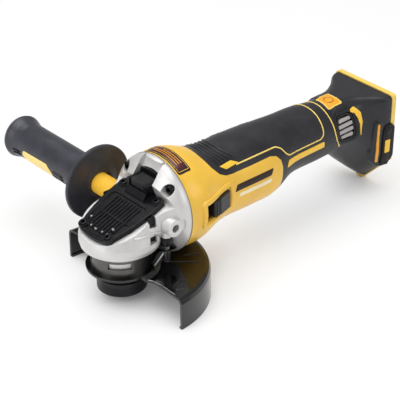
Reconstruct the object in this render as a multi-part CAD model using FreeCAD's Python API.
"""Cordless angle grinder with its wheel guard and side handle, in millimetres.

The origin is on the spindle axis at the wheel seat, the lower face of the inner flange. +Z runs up
the spindle, +X towards the battery foot and +Y towards the side handle.
"""
import FreeCAD, Part
import math
import os

V = FreeCAD.Vector
X, Y, Z = (1, 0, 0), (0, 1, 0), (0, 0, 1)

# ---------------------------------------------------------------- clearances shared by the fits
running_fit = 0.05
slack = 0.3
wide_gap = 0.6

# ---------------------------------------------------------------- wheel guard
guard_radius = 72.0
guard_sheet = 1.8
guard_plate_top = 10.0
guard_ring_top = 13.0
guard_depth = 27.4
guard_lip = 3.0
guard_corner = 4.0
guard_ring_radius = 28.3
guard_step_run = 3.0
guard_overlap = 0.4
guard_opening = [(-9.0, 22.0), (-3.0, 28.0), (1.6, 34.0), (3.0, 45.0), (2.5, 58.0), (1.7, 76.0)]
floor_z = guard_plate_top - guard_depth

# ---------------------------------------------------------------- guard collar
guard_collar_wall = 2.0
collar_top_gap = 0.3
collar_windows = 4
collar_window_angle = 46.0
collar_window_start = 229.0
collar_window_bottom = 20.0
collar_window_height = 5.4
lug_bottom = 16.4
lug_height = 2.4
lug_reach = 1.0
lug_width = 7.0

# ---------------------------------------------------------------- spindle line
thread_radius = 7.0
thread_end = -14.4
flange_radius = 20.6
flange_edge = 6.6
flange_height = 10.0
flange_top_radius = 15.0
pilot_radius = 11.1
pilot_depth = 1.6
nut_height = 9.0
nut_pin_hole = 2.6
spindle_collar_radius = 8.5
spindle_journal = 6.0
spindle_top_journal = 5.0
spindle_top = 51.0
retainer_thickness = 3.0
retainer_bottom = 13.0
lower_bearing_radius = 16.0
lower_bearing_width = 10.0
upper_bearing_radius = 7.5
upper_bearing_bottom = 43.6
upper_bearing_width = 7.0

# ---------------------------------------------------------------- bevel gears
motor_z = 53.0
crown_teeth = 41
pinion_teeth = 15
crown_pitch_radius = 24.0
gear_face = 7.0
tooth_addendum = 1.0
tooth_dedendum = 1.3
tooth_backlash = 0.22
pressure_angle = 20.0
lock_hub_radius = 9.0
lock_hub_front = 25.5
lock_hub_width = 5.2
lock_notches = 4
lock_notch_floor = 5.6

# ---------------------------------------------------------------- gear case
nose_radius = 22.45
nose_bottom = 12.5
nose_shoulder = 28.0
head_radius = 33.4
head_top_radius = 27.0
gear_chamber_radius = 26.3
gear_well_radius = 16.0
gear_well_top = 32.0
case_flange_x = 40.3
case_flange_radius = 41.6
case_wall = 4.0
air_ports = [(6.5, 13.0, 53.5, 63.0), (4.0, 12.8, 40.5, 47.5)]
cover_slope = 19.8
cover_top_at_axis = 61.0
cover_thickness = 4.0
cover_front = 32.2
cover_corner_x = -29.6
cover_corner_y = 17.6
cover_side_x = -8.0
cover_side_y = 23.8
cover_rear = 27.5
cover_rear_half_width = 25.2
cover_border = 4.2
cover_tray_depth = 1.1
cover_tray_rear = 13.0
cover_rib_width = 1.4
cover_rib_pitch = 3.5
cover_screw_points = [(-25.4, 15.2), (-25.4, -15.2), (23.2, 20.4), (23.2, -20.4)]
cover_screw_radius = 1.7
cover_screw_head = 3.0
cover_screw_length = 5.6
cover_screw_sink = 1.6
tower_half_width = 11.6
tower_front = 15.5
tower_rear = 37.5
tower_top = 80.0
tower_wall_x = 32.4
tower_wall_radius = 32.0
tower_sill = 73.6
tower_draft_run = 6.5
tower_draft_rise = 11.0
handle_x = 24.5
handle_z = 52.0
boss_radius = 7.4
boss_face = 40.0
handle_boss_face = 33.0
handle_hole_depth = 13.0
handle_thread_radius = 4.0
tapping_radius = 3.4
handle_thread_depth = 16.0
case_screw_offset = 25.5
case_screw_radius = 2.0
case_screw_head = 4.0
case_screw_length = 22.0
case_screw_seat = 34.0
retainer_radius = 20.0
retainer_screw_radius = 1.25
retainer_screw_head = 2.1
retainer_screw_circle = 17.8

# ---------------------------------------------------------------- lock button
lock_pin_x = 28.0
lock_pin_radius = 2.0
lock_travel = 3.6
button_x = 25.4
button_length = 12.4
button_width = 16.4
button_height = 6.6
lock_pin_grip = 4.0
button_dish_radius = 40.0
lock_spring_gap = 0.95
lock_spring_wire = 0.35

# ---------------------------------------------------------------- guard lever
lever_x = 24.0
lever_y = -28.6
lever_pin_radius = 1.4
lever_top = 33.0
lever_thickness = 2.0
lever_hub_radius = 3.2
lever_boss_radius = 4.4
lever_hub_bottom = 18.0
lever_hub_height = 9.6
lever_tip_x = 10.4

# ---------------------------------------------------------------- motor
shaft_radius = 5.0
shaft_nose_radius = 4.0
front_bearing_radius = 13.0
front_bearing_width = 8.0
rear_bearing_radius = 11.0
rear_bearing_width = 7.0
rear_bearing_x = 108.0
fan_radius = 30.0
fan_front = 45.0
fan_width = 10.5
fan_blades = 11
baffle_x = 58.0
baffle_thickness = 1.6
baffle_radius = 31.0
baffle_bore = 20.0
stator_x = 66.0
stator_length = 34.0
stator_radius = 25.5
air_gap = 0.6
rotor_radius = 13.0
winding_overhang = 5.0

# ---------------------------------------------------------------- housing
wall = 3.0
rubber = 1.5
housing_ring_radius = 42.0
belly_radius = 32.0
grip_radius = 25.2
foot_start_x = 228.0
foot_start_top = 78.8
base_x = 265.0
foot_rim_x = 277.0
foot_rear_x = 281.6
foot_half_width = 34.6
foot_top = 78.0
foot_plate_x = 279.0
rim_width = 3.2
rail_web_inner = 15.6
rail_web_outer = 18.6
rail_outer = 22.0
rail_flange = 3.0
rail_end_x = 289.0
rail_bottom = 6.0
rail_top = 60.0
rail_stop = 5.0

# ---------------------------------------------------------------- terminals
terminal_half_width = 14.0
terminal_bottom = 26.0
terminal_top = 54.0
terminal_front_x = base_x - 4.0
terminal_rear_x = foot_plate_x + 6.0
terminal_slot_depth = 4.4
terminal_slot_half = 1.4
terminal_blade_y = (-10.0, -5.0, 0.0, 5.0, 10.0)
blade_thickness = 0.8

# ---------------------------------------------------------------- electronics and leads
sensor_board_radius = 17.5
motor_lead_angles = (210, 270, 330)
motor_lead_circle = 17.2
motor_lead_radius = 1.2
air_hole_circle = 18.5
air_hole_radius = 4.6
module_x = 120.0
module_length = 34.0
module_half_width = 16.5
module_bottom = 31.5
module_height = 17.0
module_wall = 1.6
switch_unit_x = 161.0
switch_unit_length = 30.0
switch_unit_bottom = 46.0
switch_unit_height = 19.0
lead_y = 6.0
lead_z = 40.0
lead_radius = 1.6

# ---------------------------------------------------------------- vents and clamp screws
vent_x0, vent_x1 = 221.5, 242.5
vent_z0, vent_z1 = 47.0, 71.0
vent_corner = 7.0
vent_frame = 2.2
vent_slats = 4
vent_slat = 2.2
clamp_screws = [(119.0, 75.0), (150.0, 74.5), (197.0, 70.0), (197.0, 35.2), (234.0, 34.0), (256.0, 66.0)]
clamp_screw_radius = 1.6
clamp_head_radius = 3.2
clamp_head_seat = 8.0
clamp_screw_length = 18.0

# ---------------------------------------------------------------- slide switch
switch_front = 57.0
switch_window = 30.6
switch_height = 15.2
switch_z = 52.0
switch_travel = 8.5
slider_gap = 0.4
rod_outer_y = 27.9
rod_thickness = 1.4
rod_height = 6.0
rod_jog_x = 140.0
rod_tail_y = 13.0
rod_end_x = 204.4
spring_stop_x = 122.0
spring_y = -20.0
spring_radius = 2.2
spring_wire = 0.4

# ---------------------------------------------------------------- side handle
neck_radius = 9.2
disc_y = 58.0
disc_radius = 32.5
grip_waist = 15.6
grip_end_y = 167.3
grip_end_radius = 18.7
handle_gap = 0.3
stud_length = 68.0
stud_head_radius = 6.5
stud_head_height = 5.0
inset_start = 92.0
inset_end = 138.0
inset_half = 4.5
inset_dip = 35.0


# ================================================================ shape helpers
def cylinder(radius, length, base=(0, 0, 0), axis=Z):
    return Part.makeCylinder(radius, length, V(*base), V(*axis))


def tube(outer, inner, length, base=(0, 0, 0), axis=Z):
    return cylinder(outer, length, base, axis).cut(cylinder(inner, length, base, axis))


def block(x0, x1, y0, y1, z0, z1):
    return Part.makeBox(x1 - x0, y1 - y0, z1 - z0, V(x0, y0, z0))


def face_of(points):
    return Part.Face(Part.makePolygon([V(*p) for p in points] + [V(*points[0])]))


def turned_z(profile, start=0.0, sweep=360.0):
    """A solid turned about the spindle axis from (radius, z) points."""
    shape = face_of([(r, 0, z) for r, z in profile]).revolve(V(0, 0, 0), V(0, 0, 1), sweep)
    shape.rotate(V(0, 0, 0), V(0, 0, 1), start)
    return shape


def turned_x(profile, centre_z=motor_z):
    """A solid turned about a line along X from (x, radius) points."""
    return face_of([(x, 0, centre_z + r) for x, r in profile]).revolve(V(0, 0, centre_z), V(1, 0, 0), 360)


def turned_y(profile):
    """A solid turned about the side handle's axis from (y, radius) points."""
    face = face_of([(handle_x + r, y, handle_z) for y, r in profile])
    return face.revolve(V(handle_x, 0, handle_z), V(0, 1, 0), 360)


def prism(points, vector):
    return face_of(points).extrude(V(*vector))


def united(shapes):
    shapes = list(shapes)
    return shapes[0].multiFuse(shapes[1:]).removeSplitter() if len(shapes) > 1 else shapes[0]


def mirrored(shape):
    return shape.mirror(V(0, 0, 0), V(0, 1, 0))


def softened(shape, radius, wanted):
    """Fillets the edges that wanted() picks, and leaves the shape as it is if they can't be rounded."""
    edges = [e for e in shape.Edges if wanted(e)]
    return shape.makeFillet(radius, edges) if edges else shape


def screw(head_radius, head_height, shank_radius, length, seat, direction):
    """A cap screw whose head rests on seat and whose shank runs along direction."""
    back = tuple(-c for c in direction)
    head = cylinder(head_radius, head_height, seat, back)
    drive = cylinder(head_radius * 0.5, head_height * 0.6,
                     tuple(s + b * head_height * 0.4 for s, b in zip(seat, back)), back)
    return head.cut(drive).fuse(cylinder(shank_radius, length, seat, direction)).removeSplitter()


def coil_spring(radius, wire, height, turns, base):
    """A round-wire compression spring standing on base along Z."""
    pitch = (height - 2 * wire) / turns
    helix = Part.makeHelix(pitch, pitch * turns, radius)
    profile = Part.Wire(Part.Circle(V(radius, 0, 0), V(0, 1, 0), wire).toShape())
    spring = Part.Wire(helix.Edges).makePipeShell([profile], True, True)
    spring.translate(V(base[0], base[1], base[2] + wire))
    return spring


# ================================================================ guard and its collar
def make_guard():
    sheet = guard_sheet
    step_in = guard_ring_radius + 0.6
    step_out = step_in + guard_step_run
    inner = nose_radius + running_fit + guard_collar_wall
    shoulder = guard_radius - guard_corner
    bend = guard_corner * 0.3
    hood = turned_z([
        (step_in - guard_overlap, guard_ring_top), (step_in, guard_ring_top), (step_out, guard_plate_top),
        (shoulder, guard_plate_top), (guard_radius - bend, guard_plate_top - bend),
        (guard_radius, guard_plate_top - guard_corner), (guard_radius, floor_z),
        (guard_radius - guard_lip, floor_z), (guard_radius - guard_lip, floor_z + sheet),
        (guard_radius - sheet, floor_z + sheet), (guard_radius - sheet, guard_plate_top - guard_corner),
        (shoulder, guard_plate_top - sheet), (step_out - 0.8, guard_plate_top - sheet),
        (step_in - 0.8, guard_ring_top - sheet), (step_in - guard_overlap, guard_ring_top - sheet),
    ], -115, 230)
    ring = tube(step_in, inner, sheet, (0, 0, guard_ring_top - sheet))
    return united([hood.cut(guard_mouth()), ring])


def guard_mouth():
    """The open side of the guard, whose edge swings out in an S from the ring to the skirt."""
    depth = guard_depth + guard_ring_top
    near = Part.BSplineCurve()
    near.interpolate([V(x, -y, floor_z - 1) for x, y in guard_opening])
    far = Part.BSplineCurve()
    far.interpolate([V(x, y, floor_z - 1) for x, y in reversed(guard_opening)])
    reach = guard_radius + guard_opening[-1][0] + 10
    (x0, y0), (x1, y1) = guard_opening[0], guard_opening[-1]
    corners = [V(x1, -y1, floor_z - 1), V(-reach, -y1, floor_z - 1), V(-reach, y1, floor_z - 1),
               V(x1, y1, floor_z - 1)]
    edges = [near.toShape()] + [Part.makeLine(a, b) for a, b in zip(corners, corners[1:])]
    edges += [far.toShape(), Part.makeLine(V(x0, y0, floor_z - 1), V(x0, -y0, floor_z - 1))]
    return Part.Face(Part.Wire(edges)).extrude(V(0, 0, depth))


def make_guard_collar():
    inner = nose_radius + running_fit
    bottom = guard_ring_top - guard_sheet
    collar = tube(inner + guard_collar_wall, inner, nose_shoulder - collar_top_gap - bottom, (0, 0, bottom))
    toes = []
    for i in range(collar_windows):
        middle = collar_window_start + i * 360 / collar_windows
        window = turned_z([(inner - 1, collar_window_bottom), (inner + 4, collar_window_bottom),
                           (inner + 4, collar_window_bottom + collar_window_height),
                           (inner - 1, collar_window_bottom + collar_window_height)],
                          middle - collar_window_angle / 2, collar_window_angle)
        collar = collar.cut(window)
        toe = turned_z([
            (inner - lug_reach, lug_bottom), (inner + 0.5, lug_bottom),
            (inner + 0.5, lug_bottom + lug_height), (inner - lug_reach, lug_bottom + lug_height),
        ], middle - 180 / collar_windows - lug_span / 2, lug_span)
        toes.append(toe)
    return united([collar] + toes)


lug_span = math.degrees(lug_width / nose_radius)


# ================================================================ spindle and its clamping pieces
bearing_bottom = retainer_bottom + retainer_thickness
bearing_top = bearing_bottom + lower_bearing_width


def make_spindle():
    shaft = turned_z([
        (0, thread_end), (thread_radius - 1, thread_end), (thread_radius, thread_end + 1),
        (thread_radius, flange_height), (spindle_collar_radius, flange_height),
        (spindle_collar_radius, bearing_bottom), (spindle_journal, bearing_bottom),
        (spindle_journal, crown_hub_top), (spindle_top_journal, crown_hub_top),
        (spindle_top_journal, spindle_top - 0.6), (spindle_top_journal - 0.6, spindle_top), (0, spindle_top),
    ])
    return shaft


def make_inner_flange():
    return turned_z([
        (thread_radius, -pilot_depth + 0.6), (pilot_radius, -pilot_depth + 0.6),
        (pilot_radius, 0), (flange_radius, 0), (flange_radius, flange_edge * 0.5),
        (flange_radius - 1.4, flange_edge * 0.55), (flange_radius - 1.4, flange_edge * 0.8),
        (flange_radius - 3, flange_edge), (flange_top_radius, flange_edge + 1.6),
        (flange_top_radius, flange_height), (thread_radius, flange_height),
    ])


def make_clamp_nut():
    nut = turned_z([
        (thread_radius + running_fit, -pilot_depth - 0.2), (pilot_radius + 0.4, -pilot_depth - 0.2),
        (pilot_radius + 0.4, 0), (flange_radius, 0), (flange_radius, -nut_height + 1.2),
        (flange_radius - 1.2, -nut_height), (thread_radius + running_fit, -nut_height),
    ])
    for i in range(4):
        angle = math.radians(45 + 90 * i)
        hole = cylinder(nut_pin_hole, nut_height * 0.6,
                        (15 * math.cos(angle), 15 * math.sin(angle), -nut_height))
        nut = nut.cut(hole)
    return nut


# ================================================================ bevel gear pair
pinion_pitch_radius = crown_pitch_radius * pinion_teeth / crown_teeth
cone_distance = math.hypot(crown_pitch_radius, pinion_pitch_radius)
pinion_cone = math.atan2(pinion_pitch_radius, crown_pitch_radius)
crown_cone = math.pi / 2 - pinion_cone
inner_share = (cone_distance - gear_face) / cone_distance
tooth_half = math.pi * crown_pitch_radius / crown_teeth / 2 - tooth_backlash / 2
apex = V(0, 0, motor_z)
crown_hub_top = 40.5
crown_hub_radius = 9.5
crown_rim_bottom = 38.0


def bevel_tooth(cone, angle, root_half, axis, across):
    """One straight bevel tooth of a gear whose apex is at the shafts' crossing."""
    tip_half = tooth_half - tooth_addendum * math.tan(math.radians(pressure_angle))
    outline = [(-root_half, -tooth_dedendum - 0.5), (-root_half, -tooth_dedendum), (-tooth_half, 0),
               (-tip_half, tooth_addendum), (tip_half, tooth_addendum), (tooth_half, 0),
               (root_half, -tooth_dedendum), (root_half, -tooth_dedendum - 0.5)]
    side = axis.cross(across)
    radial = across * math.cos(angle) + side * math.sin(angle)
    tangent = side * math.cos(angle) - across * math.sin(angle)
    along = radial * math.sin(cone) + axis * math.cos(cone)
    height = radial * math.cos(cone) - axis * math.sin(cone)

    def section(share):
        centre = apex + along * (cone_distance * share)
        points = [centre + tangent * (u * share) + height * (v * share) for u, v in outline]
        return Part.makePolygon(points + [points[0]])
    return Part.makeLoft([section(inner_share), section(1.0)], True, True)


def root_point(cone, share):
    """Radius and distance from the apex of the root cone at a share of the cone distance."""
    return (share * (cone_distance * math.sin(cone) - tooth_dedendum * math.cos(cone)),
            share * (cone_distance * math.cos(cone) + tooth_dedendum * math.sin(cone)))


def make_crown_gear():
    r_out, d_out = root_point(crown_cone, 1.0)
    r_in, d_in = root_point(crown_cone, inner_share)
    body = turned_z([
        (spindle_journal, bearing_top + 0.6), (crown_hub_radius - 1, bearing_top + 0.6),
        (crown_hub_radius - 1, crown_hub_top - 8), (r_in - 1.5, crown_rim_bottom - 2),
        (r_out - 0.6, crown_rim_bottom), (r_out, crown_rim_bottom + 0.6), (r_out, motor_z - d_out),
        (r_in, motor_z - d_in), (r_in - 1, motor_z - d_in - 2.4), (crown_hub_radius, crown_hub_top),
        (spindle_journal, crown_hub_top),
    ])
    root_half = tooth_half + tooth_dedendum * math.tan(math.radians(pressure_angle))
    down, across = V(0, 0, -1), V(1, 0, 0)
    pitch = 2 * math.pi / crown_teeth
    teeth = [bevel_tooth(crown_cone, (i + 0.5) * pitch, root_half, down, across) for i in range(crown_teeth)]
    return united([body] + teeth)


def make_pinion_gear():
    r_out, d_out = root_point(pinion_cone, 1.0)
    r_in, d_in = root_point(pinion_cone, inner_share)
    body = turned_x([
        (d_in, shaft_nose_radius), (d_in, r_in), (d_out, r_out), (lock_hub_front, r_out),
        (lock_hub_front, lock_hub_radius), (lock_hub_front + lock_hub_width, lock_hub_radius),
        (lock_hub_front + lock_hub_width, shaft_nose_radius),
    ])
    root_half = tooth_half * 1.12
    axis, across = V(1, 0, 0), V(0, 0, -1)
    pitch = 2 * math.pi / pinion_teeth
    teeth = [bevel_tooth(pinion_cone, i * pitch, root_half, axis, across) for i in range(pinion_teeth)]
    gear = united([body] + teeth)
    notch_half = lock_pin_radius + slack
    for i in range(lock_notches):
        notch = block(lock_hub_front - 0.1, lock_hub_front + lock_hub_width + 0.1, -notch_half, notch_half,
                      motor_z + lock_notch_floor, motor_z + lock_hub_radius + 1)
        notch.rotate(apex, V(1, 0, 0), i * 360 / lock_notches)
        gear = gear.cut(notch)
    return gear


# ================================================================ gear case, cover and lock button
def tilted(shape):
    """Moves a shape from the cover's own flat frame on to the sloping plane."""
    shape.rotate(V(0, 0, 0), V(0, 1, 0), -cover_slope)
    shape.translate(V(0, 0, cover_top_at_axis))
    return shape


def rounded_section(x, half_width, top, bottom, power=2.0, taper=0.0, count=16):
    """A closed smooth outline across the tool at x; taper narrows its lower half."""
    middle = (top + bottom) / 2
    half_height = (top - bottom) / 2
    points = []
    for i in range(count):
        angle = 2 * math.pi * i / count
        c, s = math.cos(angle), math.sin(angle)
        y = half_width * math.copysign(abs(c) ** (2 / power), c)
        z = half_height * math.copysign(abs(s) ** (2 / power), s)
        y *= 1 - taper * max(0.0, -z / half_height) ** 2
        points.append(V(x, y, middle + z))
    curve = Part.BSplineCurve()
    curve.interpolate(Points=points, PeriodicFlag=True)
    return Part.Wire(curve.toShape())


def lofted(stations, inset=0.0):
    return Part.makeLoft([
        rounded_section(x, w - inset, top - inset, bottom + inset, power, taper)
        for x, w, top, bottom, power, taper in stations], True, False)


def rounded_polygon(x, corners, inset=0.0):
    """A six-sided outline across the tool at x from its (y, z, rounding) corners on one side."""
    points = [V(x, y, z) for y, z, _ in corners]
    points += [V(x, -p.y, p.z) for p in reversed(points)]
    radii = [max(r - inset, 0.8) for _, _, r in corners]
    radii += radii[::-1]
    count = len(points)
    moved = []
    for i in range(count):
        before = (points[i] - points[i - 1]).normalize()
        after = (points[(i + 1) % count] - points[i]).normalize()
        inward = (after - before).normalize()
        half_turn = before.getAngle(after) / 2
        moved.append((points[i] + inward * (inset / math.cos(half_turn)), before, after, inward, half_turn))
    edges = []
    ends = []
    for (corner, before, after, inward, half_turn), radius in zip(moved, radii):
        reach = radius * math.tan(half_turn)
        centre = corner + inward * (radius / math.cos(half_turn))
        ends.append((corner - before * reach, centre - inward * radius, corner + after * reach))
    for i, (start, middle, end) in enumerate(ends):
        edges.append(Part.Arc(start, middle, end).toShape())
        edges.append(Part.makeLine(end, ends[(i + 1) % count][0]))
    return Part.Wire(edges)


def foot_loft(inset=0.0):
    return Part.makeLoft([rounded_polygon(x, corners, inset) for x, *corners in foot_rows], True, False)


case_screw_points = [(sy * case_screw_offset, motor_z + sz * case_screw_offset)
                     for sy in (-1, 1) for sz in (-1, 1)]
retainer_screw_points = [(retainer_screw_circle * math.cos(math.radians(a)),
                          retainer_screw_circle * math.sin(math.radians(a))) for a in (90, 210, 330)]
front_bearing_x = case_flange_x - front_bearing_width


def make_gear_case():
    top = case_flange_radius + motor_z
    bottom = motor_z - case_flange_radius
    head = turned_z([
        (0, nose_bottom), (nose_radius, nose_bottom), (nose_radius, nose_shoulder),
        (nose_radius + 2.4, nose_shoulder), (nose_radius + 5, nose_shoulder + 1.6),
        (head_radius - 1, nose_shoulder + 5.4), (head_radius, nose_shoulder + 9),
        (head_radius - 0.2, nose_shoulder + 14), (head_top_radius, nose_shoulder + 36),
        (head_top_radius, nose_shoulder + 46), (0, nose_shoulder + 46),
    ])
    bell = lofted([
        (2.0, 28.5, 68.0, 34.0, 2.5, 0), (14.0, 30.5, 72.5, 32.5, 2.4, 0), (23.0, 33.5, 79.0, 30.0, 2.3, 0),
        (29.5, 38.2, 87.0, 22.0, 2.15, 0),
        (case_screw_seat + 0.3, case_flange_radius - 0.4, top - 1.2, bottom + 1.4, 2.05, 0),
        (case_flange_x, case_flange_radius, top, bottom, 2.0, 0)])
    bosses = [cylinder(boss_radius, face - 24, (handle_x, s * 24, handle_z), (0, s, 0))
              for s, face in ((1, handle_boss_face), (-1, boss_face))]
    lever_boss = cylinder(lever_boss_radius, 12, (lever_x, lever_y, lever_top))
    case = united([head, bell, lever_boss] + bosses)
    above = tilted(block(-60, cover_rear + 1.5, -60, 60, -cover_thickness, 60))
    case = case.cut(above).cut(tower_notch())
    chamber = turned_z([
        (0, bearing_top + 1), (gear_well_radius, bearing_top + 1), (gear_well_radius, gear_well_top),
        (gear_chamber_radius, crown_rim_bottom - 1.5), (gear_chamber_radius, 90), (0, 90)])
    roof = tilted(block(-60, 60, -60, 60, -cover_thickness - case_wall, 60))
    chamber = chamber.cut(roof)
    bearing_post = cylinder(upper_bearing_radius + 2.2, 40, (0, 0, upper_bearing_bottom - 0.6))
    chamber = chamber.cut(bearing_post)
    tooth_opening = cylinder(gear_chamber_radius - 1.3, 60, (0, 0, 38)).cut(
        cylinder(upper_bearing_radius + 3.0, 60, (0, 0, 38))).cut(block(-5.5, 60, -60, 60, 30, 99))
    pinion_room = turned_x([(0, 0), (14.5, 0), (14.5, 7.6), (24.5, 10.4), (25.0, lock_hub_radius + 1.0),
                            (front_bearing_x, lock_hub_radius + 1.0), (front_bearing_x, 0)])
    case = case.cut(chamber).cut(tooth_opening).cut(pinion_room)
    bores = [
        cylinder(upper_bearing_radius, spindle_top + 0.4 - upper_bearing_bottom + 0.6,
                 (0, 0, upper_bearing_bottom - 0.6)),
        cylinder(lower_bearing_radius, lower_bearing_width, (0, 0, bearing_bottom)),
        cylinder(13.5, 3, (0, 0, bearing_top)),
        cylinder(retainer_radius + running_fit, bearing_bottom - nose_bottom, (0, 0, nose_bottom)),
        cylinder(front_bearing_radius, 20, (front_bearing_x, 0, motor_z), X),
        cylinder(lock_pin_radius + running_fit, 20, (lock_pin_x, 0, motor_z + 5)),
        cylinder(handle_thread_radius + running_fit, handle_hole_depth,
                 (handle_x, handle_boss_face - handle_hole_depth, handle_z), Y),
        cylinder(tapping_radius, handle_thread_depth, (handle_x, -boss_face, handle_z), Y),
        cylinder(neck_radius + wide_gap, 20, (handle_x, handle_boss_face, handle_z), Y),
        cylinder(neck_radius + wide_gap, 20, (handle_x, -boss_face - 20, handle_z), Y),
    ]
    for y, z in case_screw_points:
        bores.append(cylinder(case_screw_radius, 40, (20, y, z), X))
        bores.append(cylinder(case_screw_head + 0.6, 30, (case_screw_seat, y, z), (-1, 0, 0)))
    for x, y in retainer_screw_points:
        bores.append(cylinder(retainer_screw_radius, 7, (x, y, bearing_bottom)))
    for x, y in cover_screw_points:
        bores.append(tilted(cylinder(cover_screw_radius, cover_screw_length,
                                     (x, y, -cover_screw_length - cover_screw_sink - 0.2))))
    bores.append(cylinder(lever_pin_radius, 6, (lever_x, lever_y, lever_top), Z))
    groove_radius = nose_radius - lug_reach - 0.4
    bores.append(tube(nose_radius + 1, groove_radius, lug_height + 2 * slack, (0, 0, lug_bottom - slack)))
    for i in range(collar_windows):
        middle = collar_window_start + i * 360 / collar_windows
        bores.append(turned_z([
            (groove_radius, nose_bottom - 1), (nose_radius + 1, nose_bottom - 1),
            (nose_radius + 1, lug_bottom), (groove_radius, lug_bottom),
        ], middle - (lug_span + 4) / 2, lug_span + 4))
    for s in (1, -1):
        for port in air_ports:
            bores.append(air_port(s, *port))
    return case.cut(united(bores))


def tower_notch():
    """The room in the case for the cover's tower, with a sloping face above the tower's rear wall."""
    half = tower_half_width + slack
    seat = tilted(block(0, 2 * tower_rear, -half, half, -cover_thickness, 60))
    seat = seat.common(cylinder(tower_rear + 0.5, 90, (0, 0, 30)))
    behind = block(tower_wall_x + 1, 2 * tower_rear, -half - 1, half + 1, 30, 120)
    under_wall = cylinder(tower_wall_radius + slack, 2 * tower_rear, (0, 0, motor_z), X)
    seat = seat.cut(behind.cut(under_wall))
    edge_z = motor_z + math.sqrt(tower_wall_radius ** 2 - half ** 2)
    draft = prism([(tower_wall_x, -half, edge_z), (tower_wall_x + 1, -half, edge_z),
                   (tower_wall_x + 1 + tower_draft_run, -half, edge_z + tower_draft_rise),
                   (tower_wall_x, -half, edge_z + tower_draft_rise)], (0, 2 * half, 0))
    return seat.fuse(draft)


def air_port(side, x0, x1, z0, z1):
    """A blind exhaust window in the flank of the gear case."""
    near, far = gear_chamber_radius + 0.8, head_radius + 6
    points = [(x0, side * near, z0 + 1), (x1, side * near, z0), (x1 + 0.6, side * near, z1 - 1.5),
              (x0 + 1.6, side * near, z1)]
    return prism(points, (0, side * (far - near), 0))


def cover_outline(inset, rear):
    """The lid's plan in its own flat frame: a blunt nose, bowed flanks and a straight rear edge."""
    corner = V(cover_corner_x + inset * 0.8, cover_corner_y - inset * 0.8, 0)
    side = V(cover_side_x, cover_side_y - inset, 0)
    rear_corner = V(rear, cover_rear_half_width - inset, 0)

    def over(p):
        return V(p.x, -p.y, 0)
    return Part.Face(Part.Wire([
        Part.Arc(over(corner), V(-cover_front + inset, 0, 0), corner).toShape(),
        Part.Arc(corner, side, rear_corner).toShape(), Part.makeLine(rear_corner, over(rear_corner)),
        Part.Arc(over(rear_corner), over(side), over(corner)).toShape(),
    ]))


def make_cover():
    """The ribbed black lid on the sloping face, with the tower that guides the lock button."""
    lid = cover_outline(0.0, cover_rear).extrude(V(0, 0, cover_thickness))
    lid.translate(V(0, 0, -cover_thickness))
    lid = softened(lid, 2.2, lambda e: abs(e.BoundBox.ZLength - cover_thickness) < 0.01)
    lid = softened(lid, 0.9, lambda e: e.BoundBox.ZMin > -0.01)
    tray = cover_outline(cover_border, cover_tray_rear).extrude(V(0, 0, 2))
    tray.translate(V(0, 0, -cover_tray_depth))
    lid = lid.cut(softened(tray, 4, lambda e: abs(e.BoundBox.ZLength - 2) < 0.01))
    ribs = [block(-60, 60, y - cover_rib_width / 2, y + cover_rib_width / 2, -cover_tray_depth - 0.1, -0.1)
            for y in (cover_rib_pitch * i for i in range(-4, 5))]
    ribs.append(block(-8.0, -8.0 + cover_rib_width, -30, 30, -cover_tray_depth - 0.1, -0.1))
    field = cover_outline(cover_border + 2.6, cover_tray_rear - 2).extrude(V(0, 0, 4))
    field.translate(V(0, 0, -2))
    lid = united([lid, united(ribs).common(field)])
    pads = [cylinder(cover_screw_head + 1.5, cover_thickness + 0.8, (x, y, -cover_thickness))
            for x, y in cover_screw_points]
    lid = tilted(united([lid] + pads))

    tower = block(tower_front, tower_wall_x + 2, -tower_half_width, tower_half_width, 50, tower_top)
    tower = softened(tower, 1.2, lambda e: e.BoundBox.ZMin > tower_top - 0.01)
    wall = block(tower_wall_x, tower_rear + 2, -tower_half_width, tower_half_width, 50, 99)
    wall = wall.common(cylinder(tower_wall_radius, 60, (tower_wall_x, 0, motor_z), X))
    tower = tower.fuse(wall).common(cylinder(tower_rear, 90, (0, 0, 20)))
    ramp_end = button_x - button_length / 2 - slack - 0.9
    front_ramp = prism([(tower_front - 1, -20, 66.0), (tower_front - 1, -20, 90), (ramp_end, -20, 90),
                        (ramp_end, -20, 73.0)], (0, 40, 0))
    opening = block(tower_front - 1, button_x, -button_width / 2 - slack, button_width / 2 + slack,
                    tower_sill, 99)
    below = tilted(block(-60, 80, -60, 60, -cover_thickness - 40, -cover_thickness))
    cover = lid.fuse(tower.cut(front_ramp).cut(opening).cut(below)).removeSplitter()
    well = block(button_x - button_length / 2 - slack, button_x + button_length / 2 + slack,
                 -button_width / 2 - slack, button_width / 2 + slack, well_floor, 99)
    cover = cover.cut(well)
    cover = cover.cut(cylinder(lock_pin_radius + 0.4, 40, (lock_pin_x, 0, 55)))
    for x, y in cover_screw_points:
        cover = cover.cut(tilted(cylinder(cover_screw_radius, 20, (x, y, -10))))
        cover = cover.cut(tilted(cylinder(cover_screw_head + slack, 10, (x, y, -cover_screw_sink))))
    return cover


button_top = tower_top + 0.6
well_floor = button_top - button_height - lock_travel - 0.9


def make_cover_screws():
    return Part.makeCompound([
        tilted(screw(cover_screw_head, 2.6, cover_screw_radius, cover_screw_length,
                     (x, y, -cover_screw_sink), (0, 0, -1)))
        for x, y in cover_screw_points])


def make_case_screws():
    return Part.makeCompound([
        screw(case_screw_head, 3.4, case_screw_radius, case_screw_length, (case_screw_seat, y, z), X)
        for y, z in case_screw_points])


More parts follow.
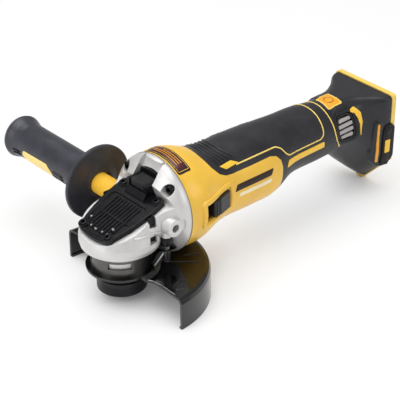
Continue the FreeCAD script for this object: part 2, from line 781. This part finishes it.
def make_lock_button():
    half_x, half_y = button_length / 2, button_width / 2
    bottom = button_top - button_height
    button = block(button_x - half_x, button_x + half_x, -half_y, half_y, bottom, button_top)
    button = softened(button, 1.0, lambda e: e.BoundBox.ZMin > button_top - 0.01)
    dish = cylinder(button_dish_radius, button_width + 2,
                    (button_x, -half_y - 1, button_top + button_dish_radius - 0.8), Y)
    return button.cut(dish).cut(cylinder(lock_pin_radius, lock_pin_grip, (lock_pin_x, 0, bottom)))


lock_pin_bottom = motor_z + lock_hub_radius + wide_gap
lock_pin_head = button_top - button_height + lock_pin_grip


def make_lock_pin():
    return cylinder(lock_pin_radius, lock_pin_head - lock_pin_bottom, (lock_pin_x, 0, lock_pin_bottom))


def make_lock_spring():
    height = button_top - button_height - well_floor
    return coil_spring(lock_pin_radius + lock_spring_gap, lock_spring_wire, height, 3,
                       (lock_pin_x, 0, well_floor))


# ================================================================ guard lever
def make_guard_lever():
    y0 = lever_y
    arm = prism([(lever_x, y0, 27.4), (lever_x, y0, 20.4), (lever_tip_x + 2.6, y0, 15.6),
                 (lever_tip_x, y0, 16.8), (lever_tip_x, y0, 20.2), (lever_x - 5.5, y0, 27.4)],
                (0, lever_thickness, 0))
    hub = cylinder(lever_hub_radius, lever_hub_height, (lever_x, lever_y, lever_hub_bottom))
    collar_clearance = nose_radius + running_fit + guard_collar_wall + slack
    reach = math.sqrt(collar_clearance ** 2 - (lever_tip_x + 0.6) ** 2)
    tooth = block(lever_tip_x + 0.6, lever_tip_x + 3.4, y0 + 0.5, -reach, 17.6, 20.0)
    bore = cylinder(lever_pin_radius + running_fit, 30, (lever_x, lever_y, lever_hub_bottom - 5))
    return united([arm, hub, tooth]).cut(bore)


def make_lever_pin():
    pin = cylinder(lever_pin_radius, lever_top + 6 - lever_hub_bottom + 1.2,
                   (lever_x, lever_y, lever_hub_bottom - 1.2))
    head = cylinder(lever_pin_radius + 0.9, 0.9, (lever_x, lever_y, lever_hub_bottom - 1.2))
    return pin.fuse(head).removeSplitter()


def make_lever_spring():
    start = lever_hub_bottom + lever_hub_height + 0.1
    return coil_spring(lever_pin_radius + 0.75, 0.4, lever_top - start - 0.1, 3, (lever_x, lever_y, start))


# ================================================================ bearings and retainer
def make_ball_bearing(outer, inner, width, base, axis):
    """A sealed ball bearing as one solid ring with its seal grooves."""
    ring = tube(outer, inner, width, base, axis)
    land = (outer + inner) / 2
    span = (outer - inner) * 0.22
    near = tube(land + span, land - span, 0.5, base, axis)
    far_base = tuple(b + a * (width - 0.5) for b, a in zip(base, axis))
    return ring.cut(near).cut(tube(land + span, land - span, 0.5, far_base, axis))


def make_retainer():
    plate = tube(retainer_radius, spindle_collar_radius + 0.5, retainer_thickness, (0, 0, retainer_bottom))
    for x, y in retainer_screw_points:
        plate = plate.cut(cylinder(retainer_screw_radius, 10, (x, y, retainer_bottom - 1)))
        plate = plate.cut(retainer_screw_cone(x, y))
    return plate


def retainer_screw_cone(x, y):
    """A countersunk head, which the plate is cut for as well."""
    return Part.makeCone(retainer_screw_head, retainer_screw_radius, 0.9, V(x, y, retainer_bottom), V(*Z))


def make_retainer_screws():
    screws = []
    for x, y in retainer_screw_points:
        shank = cylinder(retainer_screw_radius, 8.5, (x, y, retainer_bottom))
        screws.append(retainer_screw_cone(x, y).fuse(shank).removeSplitter())
    return Part.makeCompound(screws)


# ================================================================ motor
stator_end = stator_x + stator_length
shaft_end = rear_bearing_x + rear_bearing_width + 1.0


def make_motor_shaft():
    return turned_x([
        (root_point(pinion_cone, inner_share)[1] - 1, 0), (root_point(pinion_cone, inner_share)[1] - 1, 3.4),
        (root_point(pinion_cone, inner_share)[1] - 0.4, shaft_nose_radius),
        (front_bearing_x - 1, shaft_nose_radius), (front_bearing_x - 1, shaft_radius),
        (rear_bearing_x, shaft_radius), (rear_bearing_x, shaft_nose_radius),
        (shaft_end, shaft_nose_radius), (shaft_end, 0),
    ])


def make_cooling_fan():
    back = fan_front + fan_width - 1.6
    disc = tube(fan_radius, shaft_radius, 1.6, (back, 0, motor_z), X)
    hub = tube(shaft_radius + 4, shaft_radius, fan_width, (fan_front, 0, motor_z), X)
    blades = []
    for i in range(fan_blades):
        root, tip = motor_z + shaft_radius, motor_z + fan_radius
        blade = prism([(fan_front, -0.8, root + 9), (fan_front, -0.8, tip - 2), (back, -0.8, tip - 0.6),
                       (back, -0.8, root + 3)], (0, 1.6, 0))
        blade.rotate(V(0, 0, motor_z), V(1, 0, 0), i * 360 / fan_blades)
        blades.append(blade)
    return united([disc, hub] + blades)


def make_rotor_core():
    core = tube(rotor_radius, shaft_radius, stator_length, (stator_x, 0, motor_z), X)
    return softened(core, 0.8, lambda e: abs(e.BoundBox.YLength - 2 * rotor_radius) < 0.01)


stator_slots = 6
slot_inner = rotor_radius + air_gap + 1.8
slot_outer = stator_radius - 3.6


def stator_slot(shrink=0.0):
    """One winding slot along the stator, between two teeth."""
    half_in, half_out = 3.6 - shrink, 6.4 - shrink
    return prism([(stator_x - 20, -half_in, motor_z + slot_inner + shrink),
                  (stator_x - 20, half_in, motor_z + slot_inner + shrink),
                  (stator_x - 20, half_out, motor_z + slot_outer - shrink),
                  (stator_x - 20, -half_out, motor_z + slot_outer - shrink)], (stator_length + 40, 0, 0))


def make_stator():
    core = tube(stator_radius, rotor_radius + air_gap, stator_length, (stator_x, 0, motor_z), X)
    slots = []
    for i in range(stator_slots):
        slot = stator_slot()
        slot.rotate(V(0, 0, motor_z), V(1, 0, 0), (i + 0.5) * 360 / stator_slots)
        slots.append(slot)
    return core.cut(Part.makeCompound(slots))


def make_stator_windings():
    reach = block(stator_x - 0.5, stator_end + 0.5, -40, 40, 0, 120)
    bars = []
    for i in range(stator_slots):
        bar = stator_slot(0.15).common(reach)
        bar.rotate(V(0, 0, motor_z), V(1, 0, 0), (i + 0.5) * 360 / stator_slots)
        bars.append(bar)
    inner, outer = slot_inner + 0.2, slot_outer + 1.0
    ends = []
    for x in (stator_x - winding_overhang, stator_end):
        start = x if x < stator_x else x + 0.2
        end_turn = tube(outer, inner, winding_overhang - 0.2, (start, 0, motor_z), X)
        ends.append(softened(end_turn, 1.2, lambda e: abs(e.BoundBox.YLength - 2 * outer) < 0.01))
    return united(bars + ends)


def make_sensor_board():
    """The ring-shaped board behind the motor, notched where the leads pass it."""
    start = stator_end + winding_overhang + slack
    board = tube(sensor_board_radius, shaft_radius + 2.0, 1.6, (start, 0, motor_z), X)
    return board.cut(Part.makeCompound([
        cylinder(motor_lead_radius + slack, 10, (start - 1, y, z), X) for y, z in motor_lead_points()]))


def make_fan_baffle():
    """The ring that guides the air into the fan, notched where the switch slider runs past it."""
    front = baffle_x - baffle_thickness
    ring = tube(baffle_radius, baffle_bore, baffle_thickness, (front, 0, motor_z), X)
    half = switch_height / 2 + slack
    notch = block(front - 1, baffle_x + 1, -baffle_radius - 1, wide_gap - rod_outer_y,
                  switch_z - half, switch_z + half)
    return ring.cut(notch)


# ================================================================ housing shells
housing_stations = [
    (case_flange_x, housing_ring_radius, motor_z + housing_ring_radius,
     motor_z - housing_ring_radius, 2.0, 0),
    (52.0, housing_ring_radius, motor_z + housing_ring_radius, motor_z - housing_ring_radius, 2.0, 0),
    (62.0, 41.0, 93.2, 11.8, 2.0, 0),
    (72.0, 37.6, 89.2, 14.4, 2.0, 0),
    (82.0, 34.2, 85.4, 17.2, 2.05, 0),
    (94.0, belly_radius + 0.2, 83.0, 18.7, 2.1, 0),
    (111.0, belly_radius, 82.8, 18.7, 2.15, 0),
    (128.0, belly_radius, 82.6, 18.6, 2.15, 0),
    (142.0, belly_radius - 0.4, 82.1, 18.8, 2.15, 0),
    (152.0, 30.2, 81.9, 20.8, 2.1, 0),
    (161.0, 28.0, 81.7, 24.8, 2.1, 0),
    (171.0, 26.2, 81.3, 28.4, 2.1, 0),
    (186.0, grip_radius + 0.4, 80.8, 29.4, 2.1, 0),
    (205.0, grip_radius, 79.7, 29.2, 2.1, 0),
    (foot_start_x, grip_radius, foot_start_top, foot_start_top - 2 * grip_radius, 2.0, 0),
]

# Each row of the foot: x, then the top, side and lower corners as (y, z, rounding).
round_corner = grip_radius * math.tan(math.radians(30))
round_middle = foot_start_top - grip_radius
foot_rows = [
    (foot_start_x, (round_corner, foot_start_top, 24.0), (2 * round_corner, round_middle, 24.0),
     (round_corner, foot_start_top - 2 * grip_radius, 24.0)),
    (234.0, (15.6, 78.4, 21.0), (28.7, 52.0, 21.0), (13.4, 23.2, 18.0)),
    (241.0, (17.0, 78.0, 18.0), (28.2, 48.0, 17.0), (11.8, 16.4, 15.0)),
    (250.0, (19.6, 77.7, 14.0), (28.2, 40.0, 13.0), (9.6, 8.0, 12.0)),
    (258.0, (23.4, 77.4, 9.0), (29.4, 31.0, 10.0), (8.0, 1.0, 10.0)),
    (263.0, (26.8, 77.2, 7.0), (31.0, 24.0, 9.0), (6.8, -3.4, 9.0)),
    (267.5, (30.6, 77.1, 5.0), (32.2, 18.4, 8.0), (5.6, -7.2, 8.0)),
    (271.0, (32.8, 77.0, 4.0), (32.8, 15.4, 7.0), (4.8, -10.2, 8.0)),
    (foot_rim_x, (foot_half_width - 0.7, foot_top - 1.0, 3.5), (foot_half_width - 1.8, 13.8, 6.0),
     (4.2, -14.6, 8.0)),
]
rim_corners = ((foot_half_width, foot_top, 3.5), (foot_half_width - 1.4, 13.2, 6.0), (2.8, floor_z, 6.0))
split_reach = 400.0


def side_of(side):
    """Everything on one side of the tool's middle plane."""
    y0, y1 = (-split_reach, 0) if side < 0 else (0, split_reach)
    return block(-split_reach, 2 * split_reach, y0, y1, -split_reach, split_reach)


def rubber_region():
    """The length of the tool that the black rubber skin covers, seen from its side."""
    outline = [
        (foot_rim_x, 110), (74.5, 110), (72.0, 96), (74.0, 86.5), (77.5, 79), (83.0, 72.6), (89.0, 69.4),
        (96.0, 68.3), (138.0, 68.3), (144.5, 66.2), (148.6, 61.6), (150.0, 55.0), (150.0, 36.0),
        (148.0, 28.0), (146.0, 10.0), (foot_rim_x, -40),
    ]
    return prism([(x, -60, z) for x, z in outline], (0, 120, 0))


def vent_opening(side):
    y0, y1 = (-60, -15) if side < 0 else (15, 60)
    hole = block(vent_x0, vent_x1, y0, y1, vent_z0, vent_z1)
    return softened(hole, vent_corner, lambda e: e.BoundBox.YLength > 40)


def stator_ribs():
    """Rings that carry the baffle, the stator and the rear bearing, and the seats of the electronics."""
    ribs = []
    for x0, x1, bore in ((baffle_x, baffle_x + 3, stator_radius + 2.5),
                         (stator_x + 2, stator_x + 5, stator_radius),
                         (stator_end - 5, stator_end - 2, stator_radius)):
        ribs.append(tube(60, bore, x1 - x0, (x0, 0, motor_z), X))
    spider = tube(60, rear_bearing_radius, rear_bearing_width, (rear_bearing_x, 0, motor_z), X)
    air_holes = []
    for i in range(6):
        a = math.radians(30 + 60 * i)
        y, z = air_hole_circle * math.cos(a), motor_z + air_hole_circle * math.sin(a)
        air_holes.append(cylinder(air_hole_radius, 20, (rear_bearing_x - 5, y, z), X))
    ribs.append(spider.cut(Part.makeCompound(air_holes)))
    for start, length, top in ((module_x, module_length, module_bottom),
                               (switch_unit_x, switch_unit_length, switch_unit_bottom)):
        for x in (start + 3, start + length - 5):
            ribs.append(block(x, x + 2, -60, 60, -10, top))
    ribs.append(block(spring_stop_x - 1.8, spring_stop_x, -60, spring_y + 3.5, switch_z - 3, switch_z + 8))
    for y, z in case_screw_points:
        ribs.append(cylinder(4.6, 14, (case_flange_x - 1, y, z), X))
    for x, z in clamp_screws:
        ribs.append(cylinder(4.2, 120, (x, -60, z), Y))
    return ribs


def make_shells():
    """Both housing halves and both rubber skins; the right half starts as the left half's mirror image."""
    left = side_of(-1)
    front_of_base = block(-split_reach, base_x, -split_reach, split_reach, -split_reach, split_reach)
    skin = lofted(housing_stations).fuse(foot_loft()).common(left)
    under = lofted(housing_stations, rubber).fuse(foot_loft(rubber))
    grip = skin.cut(under).common(rubber_region())
    cavity = lofted(housing_stations, wall).fuse(foot_loft(wall)).common(front_of_base)
    cavity = cavity.fuse(cylinder(housing_ring_radius - wall, 12, (case_flange_x - 1, 0, motor_z), X))
    void = cavity.cut(Part.makeCompound(stator_ribs()))
    shell = skin.common(front_of_base).cut(grip).cut(void)

    hole_bottom = clamp_head_seat - clamp_screw_length - 1
    screw_holes = [cylinder(clamp_screw_radius, clamp_screw_length + 2, (x, hole_bottom, z), Y)
                   for x, z in clamp_screws]
    head_holes = [cylinder(clamp_head_radius + slack, 60, (x, clamp_head_seat, z), Y)
                  for x, z in clamp_screws]
    front_holes = [cylinder(case_screw_radius, case_screw_length + 1, (case_screw_seat, y, z), X)
                   for y, z in case_screw_points]
    lead_way = block(module_x, base_x + 1, -lead_y - 3, lead_y + 3, lead_z - 3, lead_z + 3)
    shared = Part.makeCompound(screw_holes + front_holes + [lead_way])
    rod_low, rod_high = switch_z - rod_height / 2 - slack, switch_z + rod_height / 2 + slack
    rod_way = block(switch_front, rod_jog_x + 3, -rod_outer_y - slack, slack - rod_outer_y + rod_thickness,
                    rod_low, rod_high)
    window = block(switch_front, switch_front + switch_window, -60, -26,
                   switch_z - switch_height / 2, switch_z + switch_height / 2)
    right_shell = mirrored(shell).cut(shared).cut(vent_opening(1)).cut(Part.makeCompound(head_holes))
    right_grip = mirrored(grip).cut(vent_opening(1)).cut(Part.makeCompound(head_holes))
    left_shell = shell.cut(shared).cut(vent_opening(-1)).cut(window.fuse(rod_way))
    return {"housing_left": left_shell, "grip_rubber_left": grip.cut(vent_opening(-1)),
            "housing_right": right_shell, "grip_rubber_right": right_grip}


def make_clamp_screws():
    return Part.makeCompound([
        screw(clamp_head_radius, 2.6, clamp_screw_radius, clamp_screw_length,
              (x, clamp_head_seat, z), (0, -1, 0))
        for x, z in clamp_screws])


def make_vent_grille(side):
    """A slatted black grille clipped into the intake opening."""
    inset = slack
    outer_y, inner_y = grip_radius - 0.6, grip_radius - 3.4
    y0, y1 = sorted((side * inner_y, side * outer_y))
    panel = block(vent_x0 + inset, vent_x1 - inset, y0, y1, vent_z0 + inset, vent_z1 - inset)
    panel = softened(panel, vent_corner - inset, lambda e: abs(e.BoundBox.YLength - (y1 - y0)) < 0.01)
    frame = vent_frame
    inner = block(vent_x0 + frame, vent_x1 - frame, y0 - 1, y1 + 1, vent_z0 + frame, vent_z1 - frame)
    inner = softened(inner, vent_corner - frame, lambda e: e.BoundBox.YLength > y1 - y0 + 1)
    bars = []
    for i in range(vent_slats):
        middle = vent_z0 + (i + 1) * (vent_z1 - vent_z0) / (vent_slats + 1)
        bars.append(block(vent_x0, vent_x1, y0 - 2, y1 + 2, middle - vent_slat / 2, middle + vent_slat / 2))
    return panel.cut(inner.cut(Part.makeCompound(bars)))


# ================================================================ battery foot
def make_battery_base():
    """The yellow plate that closes the foot, with the rails the battery pack slides up on."""
    behind = block(base_x, foot_rim_x, -split_reach, split_reach, -split_reach, split_reach)
    rim = rounded_polygon(foot_rim_x, rim_corners)
    dish = rounded_polygon(foot_plate_x, rim_corners, rim_width)
    plate = Part.Face(rim).extrude(V(foot_rear_x - foot_rim_x, 0, 0))
    plate = plate.cut(Part.Face(dish).extrude(V(20, 0, 0)))
    rails = []
    for side in (-1, 1):
        profile = [(rail_web_inner, foot_plate_x - 1), (rail_web_outer, foot_plate_x - 1),
                   (rail_web_outer, rail_end_x - rail_flange), (rail_outer, rail_end_x - rail_flange),
                   (rail_outer, rail_end_x), (rail_web_inner, rail_end_x)]
        rails.append(prism([(x, side * y, rail_bottom) for y, x in profile], (0, 0, rail_top - rail_bottom)))
    stop = block(foot_plate_x - 1, rail_end_x, -rail_outer, rail_outer, rail_top - 0.1, rail_top + rail_stop)
    base = foot_loft(rubber).common(behind).fuse([plate, stop] + rails)
    seat = block(base_x - 1, foot_plate_x + 1, -terminal_half_width, terminal_half_width,
                 terminal_bottom, terminal_top)
    return base.cut(seat).removeSplitter()


def make_terminal_block():
    body = block(terminal_front_x, terminal_rear_x, -terminal_half_width, terminal_half_width,
                 terminal_bottom, terminal_top)
    flange = block(terminal_front_x, base_x, -terminal_half_width - 3, terminal_half_width + 3,
                   terminal_bottom - 3, terminal_top + 3)
    body = body.fuse(flange).removeSplitter()
    for y in terminal_blade_y:
        body = body.cut(block(terminal_rear_x - terminal_slot_depth, terminal_rear_x + 1,
                              y - terminal_slot_half, y + terminal_slot_half, terminal_bottom - 5,
                              terminal_top - 6))
    return body


def make_terminal_blades():
    return Part.makeCompound([
        block(terminal_rear_x - terminal_slot_depth, terminal_rear_x + 0.6, y - blade_thickness / 2,
              y + blade_thickness / 2, terminal_bottom + 4, terminal_top - 6)
        for y in terminal_blade_y])


# ================================================================ electronics inside the housing
def make_control_module():
    tray = block(module_x, module_x + module_length, -module_half_width, module_half_width,
                 module_bottom, module_bottom + module_height)
    tray = softened(tray, 2.0, lambda e: e.BoundBox.ZLength > module_height - 0.1)
    pocket = block(module_x + module_wall, module_x + module_length - module_wall,
                   module_wall - module_half_width, module_half_width - module_wall,
                   module_bottom + module_height - 3, module_bottom + module_height + 1)
    return tray.cut(pocket)


def make_switch_unit():
    rear = switch_unit_x + switch_unit_length
    body = block(switch_unit_x, rear, -12, 10, switch_unit_bottom, switch_unit_bottom + switch_unit_height)
    plunger_end = rod_end_x - rod_thickness - switch_travel - slack
    plunger = block(rear - 1, plunger_end, -11, -7, switch_z - 2, switch_z + 2)
    return body.fuse(plunger).removeSplitter()


def make_battery_leads():
    start = module_x + module_length
    return Part.makeCompound([cylinder(lead_radius, terminal_front_x - start, (start, s * lead_y, lead_z), X)
                              for s in (-1, 1)])


def motor_lead_points():
    """Where the three leads leave the windings, as (y, z)."""
    return [(motor_lead_circle * math.cos(math.radians(a)),
             motor_z + motor_lead_circle * math.sin(math.radians(a))) for a in motor_lead_angles]


def make_motor_leads():
    start = stator_end + winding_overhang
    return Part.makeCompound([cylinder(motor_lead_radius, module_x - start, (start, y, z), X)
                              for y, z in motor_lead_points()])


# ================================================================ slide switch
slider_front = switch_front + switch_travel + slider_gap
slider_rear = switch_front + switch_window - slider_gap


def make_switch_slider():
    half = switch_height / 2 - slider_gap
    y_front, y_rear = -40.4, -35.6
    outline = [(slider_front, -rod_outer_y), (slider_front, y_front + 1.5), (slider_front + 1.2, y_front),
               (slider_front + 8.0, y_front + 1.2), (slider_rear - 1.5, y_rear), (slider_rear, y_rear + 1.2),
               (slider_rear, -rod_outer_y)]
    body = prism([(x, y, switch_z - half) for x, y in outline], (0, 0, 2 * half))
    grooves = [block(slider_front + 1.6 + 2.2 * i, slider_front + 2.6 + 2.2 * i, -50,
                     y_front + 1.6 + 0.35 * i, switch_z - half - 1, switch_z + half + 1) for i in range(3)]
    return body.cut(Part.makeCompound(grooves))


def make_switch_rod():
    low, high = switch_z - rod_height / 2, switch_z + rod_height / 2
    inner_y = -rod_outer_y + rod_thickness
    tail_outer_y = -rod_tail_y - rod_thickness
    strip = block(slider_front + 2, rod_jog_x, -rod_outer_y, inner_y, low, high)
    jog = block(rod_jog_x - rod_thickness, rod_jog_x, -rod_outer_y, -rod_tail_y, low, high)
    tail = block(rod_jog_x - rod_thickness, rod_end_x, tail_outer_y, -rod_tail_y, low, high)
    finger = block(rod_end_x - rod_thickness, rod_end_x, tail_outer_y, -7, low, high)
    return united([strip, jog, tail, finger])


def make_switch_spring():
    length = rod_jog_x - rod_thickness - spring_stop_x - 0.2
    spring = coil_spring(spring_radius, spring_wire, length, 6, (0, 0, 0))
    spring.rotate(V(0, 0, 0), V(0, 1, 0), 90)
    spring.translate(V(spring_stop_x + 0.1, spring_y, switch_z))
    return spring


# ================================================================ side handle
stud_start = handle_boss_face - handle_hole_depth + 2.0


def stud_head():
    """The hexagon head that the core is moulded round, taken as round."""
    return cylinder(stud_head_radius, stud_head_height,
                    (handle_x, stud_start + stud_length - stud_head_height, handle_z), Y)


def make_handle_stud():
    stud = cylinder(handle_thread_radius, stud_length, (handle_x, stud_start, handle_z), Y)
    return stud.fuse(stud_head()).removeSplitter()


def make_handle_core():
    neck_start = handle_boss_face + handle_gap
    core = turned_y([(neck_start, 0), (neck_start, neck_radius - 0.8), (neck_start + 0.8, neck_radius),
                     (grip_end_y - 14, neck_radius), (grip_end_y - 12, neck_radius - 2),
                     (grip_end_y - 12, 0)])
    core = core.cut(make_handle_stud())
    return core.fuse(grip_window()).removeSplitter()


def grip_window():
    """The raised yellow rib that shows through the rubber along the grip's lower front side."""
    rib = block(inset_start, inset_end, neck_radius - 2, grip_waist - 0.4, -inset_half, inset_half)
    rib = softened(rib, inset_half - 0.2, lambda e: e.BoundBox.YLength > 3)
    rib.rotate(V(0, 0, 0), V(0, 0, 1), 90)
    rib.rotate(V(0, 0, 0), V(0, 1, 0), -inset_dip)
    rib.translate(V(handle_x, 0, handle_z))
    return rib


def make_handle_grip():
    y = disc_y
    grip = turned_y([
        (y - 2.0, neck_radius), (y - 2.6, neck_radius + 3), (y - 1.2, neck_radius + 9),
        (y - 0.4, disc_radius - 1.0), (y + 0.4, disc_radius), (y + 2.2, disc_radius),
        (y + 3.0, disc_radius - 1.0), (y + 3.2, grip_waist + 8), (y + 4.6, grip_waist + 3.4),
        (y + 8, grip_waist + 0.9), (y + 13, grip_waist), (grip_end_y - 17, grip_waist),
        (grip_end_y - 11, grip_waist + 1.0), (grip_end_y - 6, grip_end_radius - 0.4),
        (grip_end_y - 4, grip_end_radius), (grip_end_y - 1.6, grip_end_radius - 0.9),
        (grip_end_y - 0.4, grip_end_radius - 3.4), (grip_end_y, grip_end_radius - 7), (grip_end_y, 0),
        (grip_end_y - 12, 0), (grip_end_y - 12, neck_radius - 2), (grip_end_y - 14, neck_radius),
    ])
    return grip.cut(grip_window())


# ================================================================ the node list
def make_nodes():
    nodes = {
        "guard": make_guard(),
        "guard_collar": make_guard_collar(),
        "guard_lever": make_guard_lever(),
        "lever_pin": make_lever_pin(),
        "lever_spring": make_lever_spring(),
        "spindle": make_spindle(),
        "inner_flange": make_inner_flange(),
        "clamp_nut": make_clamp_nut(),
        "crown_gear": make_crown_gear(),
        "pinion_gear": make_pinion_gear(),
        "gear_case": make_gear_case(),
        "gear_case_cover": make_cover(),
        "cover_screws": make_cover_screws(),
        "gear_case_screws": make_case_screws(),
        "lock_button": make_lock_button(),
        "lock_pin": make_lock_pin(),
        "lock_spring": make_lock_spring(),
        "spindle_bearing_lower": make_ball_bearing(lower_bearing_radius, spindle_journal + running_fit,
                                                   lower_bearing_width, (0, 0, bearing_bottom), Z),
        "spindle_bearing_upper": tube(upper_bearing_radius, spindle_top_journal + running_fit,
                                      upper_bearing_width, (0, 0, upper_bearing_bottom)),
        "bearing_retainer": make_retainer(),
        "retainer_screws": make_retainer_screws(),
        "motor_shaft": make_motor_shaft(),
        "cooling_fan": make_cooling_fan(),
        "rotor_core": make_rotor_core(),
        "stator": make_stator(),
        "stator_windings": make_stator_windings(),
        "sensor_board": make_sensor_board(),
        "fan_baffle": make_fan_baffle(),
        "motor_bearing_front": make_ball_bearing(front_bearing_radius, shaft_radius + running_fit,
                                                 front_bearing_width, (front_bearing_x, 0, motor_z), X),
        "motor_bearing_rear": make_ball_bearing(rear_bearing_radius, shaft_nose_radius + running_fit,
                                                rear_bearing_width, (rear_bearing_x, 0, motor_z), X),
        "battery_base": make_battery_base(),
        "terminal_block": make_terminal_block(),
        "terminal_blades": make_terminal_blades(),
        "control_module": make_control_module(),
        "switch_unit": make_switch_unit(),
        "battery_leads": make_battery_leads(),
        "motor_leads": make_motor_leads(),
        "switch_slider": make_switch_slider(),
        "switch_rod": make_switch_rod(),
        "switch_spring": make_switch_spring(),
        "side_handle_stud": make_handle_stud(),
        "side_handle_core": make_handle_core(),
        "side_handle_grip": make_handle_grip(),
    }
    nodes["housing_screws"] = make_clamp_screws()
    nodes["vent_grille_left"] = make_vent_grille(-1)
    nodes["vent_grille_right"] = make_vent_grille(1)
    nodes.update(make_shells())
    return nodes


def main():
    os.makedirs("parts", exist_ok=True)
    for name, shape in make_nodes().items():
        shape.exportStep("parts/" + name + ".step")
        box = shape.BoundBox
        print(f"{name:24s} {len(shape.Solids)} solids  {shape.Volume / 1000:9.2f} cm3  "
              f"valid {shape.isValid()}  "
              f"x {box.XMin:7.1f} {box.XMax:7.1f}  y {box.YMin:7.1f} {box.YMax:7.1f}  "
              f"z {box.ZMin:7.1f} {box.ZMax:7.1f}")


main()
